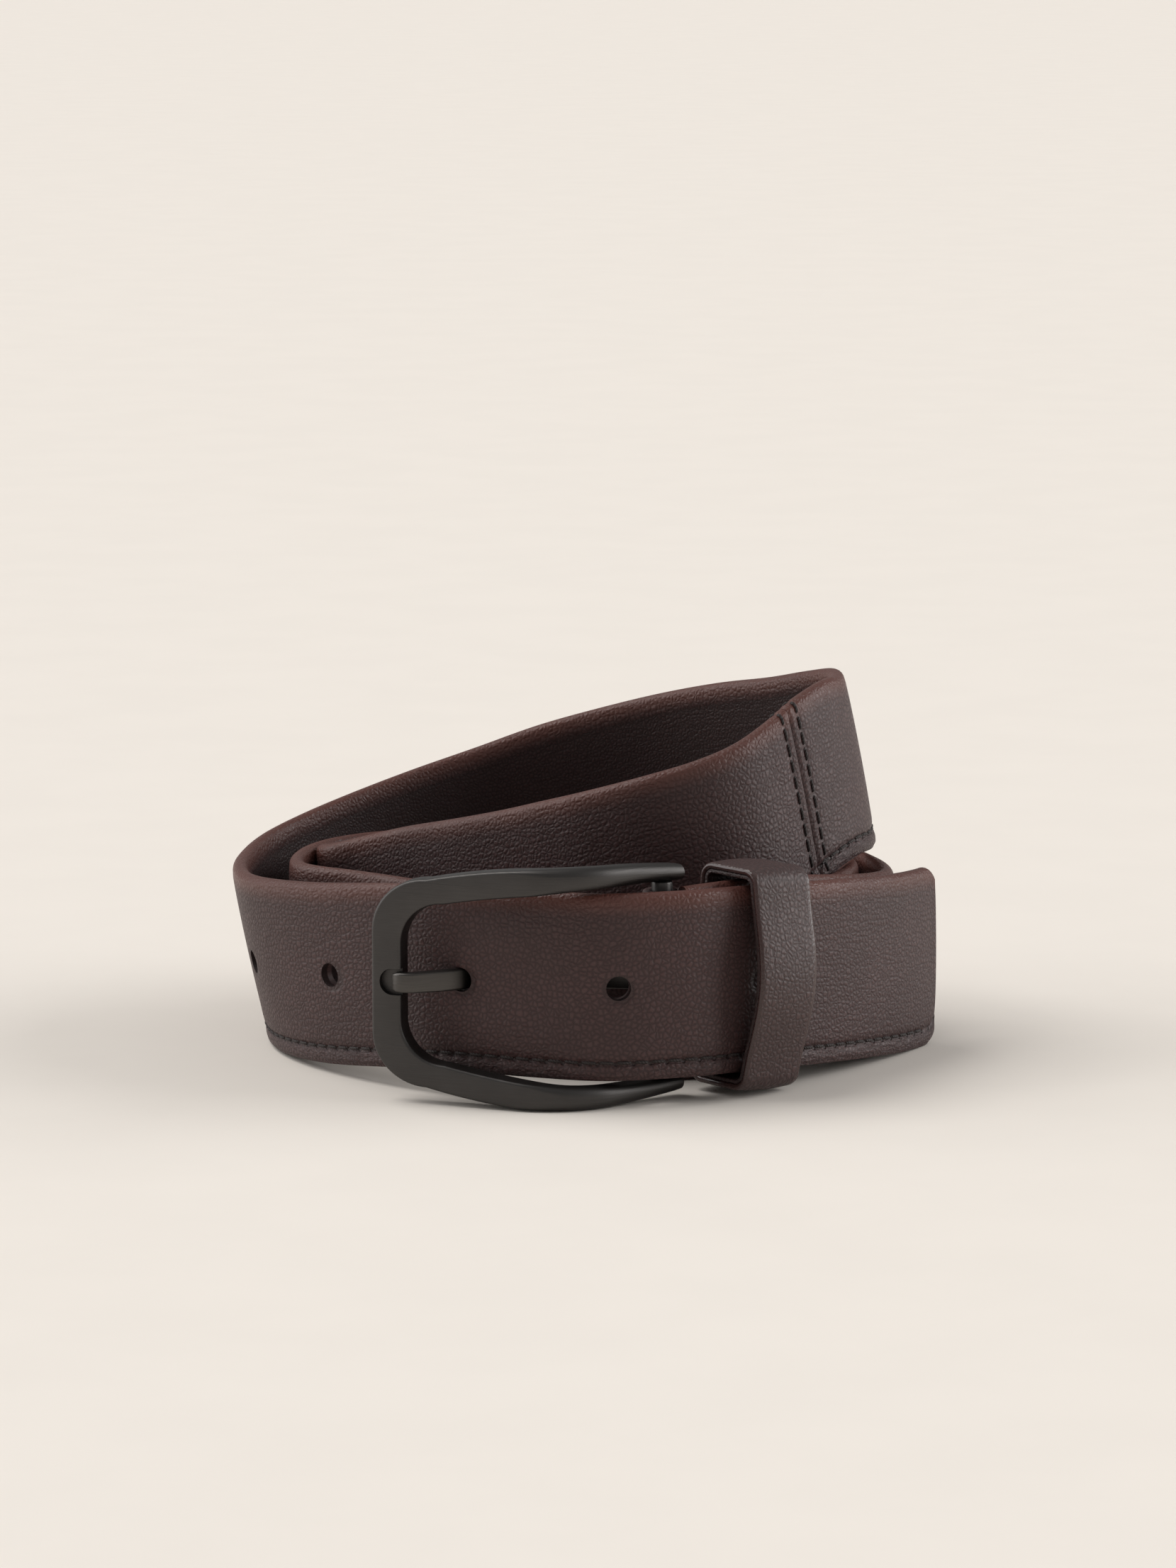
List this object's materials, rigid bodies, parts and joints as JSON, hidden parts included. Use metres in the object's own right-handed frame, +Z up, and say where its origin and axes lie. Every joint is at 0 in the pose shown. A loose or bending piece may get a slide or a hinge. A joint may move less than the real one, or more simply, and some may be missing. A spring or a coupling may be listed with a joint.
{
  "type": "leather belt",
  "caption": "Dress belt of lined leather with a frame buckle, single prong and fixed keeper, buckled and coiled on its edge.",
  "frame": {"origin": "middle of the coil's bounding box, on the surface that the belt stands on", "axes": "+X along the buckle from its toe to its heel, +Y from the buckle back through the coil, +Z up"},
  "size_m": [0.1368, 0.1274, 0.0708],
  "materials": {
    "facing_leather": "fine grained, satin",
    "lining_leather": "fine grained, dull",
    "core_leather": "raw",
    "keeper_leather": "fine grained, painted edges",
    "thread": "waxed",
    "tan_thread": "waxed",
    "buckle_metal": "dark brushed plating",
    "prong_metal": "dark brushed plating",
    "staple_wire": "bright wire"
  },
  "bodies": {
    "strap": {"facing_tip": "facing_leather", "core_tip": "core_leather", "lining_tip": "lining_leather", "facing_heel": "facing_leather", "core_heel": "core_leather", "lining_heel": "lining_leather", "edge_thread_tip": "thread", "edge_thread_heel": "thread", "join_thread_tip": "thread", "join_thread_heel": "thread", "fold_loop": "facing_leather", "return_leaf": "facing_leather", "fold_thread_near": "tan_thread", "fold_thread_far": "tan_thread"},
    "keeper": {"keeper_band": "keeper_leather", "keeper_lining": "lining_leather", "keeper_staple": "staple_wire"},
    "buckle": {"buckle_frame": "buckle_metal", "heel_bar": "buckle_metal"},
    "prong": {"prong": "prong_metal"}
  },
  "joints": [
    {"name": "keeper_play", "type": "slide", "parent": "strap", "child": "keeper", "axis": [0.7452, 0.6633, -0.0685], "range_m": [-0.002, 0.001]},
    {"name": "buckle_pivot", "type": "hinge", "parent": "strap", "child": "buckle", "pos_m": [0.01453, -0.05083, 0.02275], "axis": [0, 0, 1], "range_deg": [0, 0.3]},
    {"name": "prong_pivot", "type": "hinge", "parent": "buckle", "child": "prong", "pos_m": [0.01453, -0.05083, 0.02275], "axis": [0, 0, 1], "range_deg": [0, 0.25]}
  ]
}
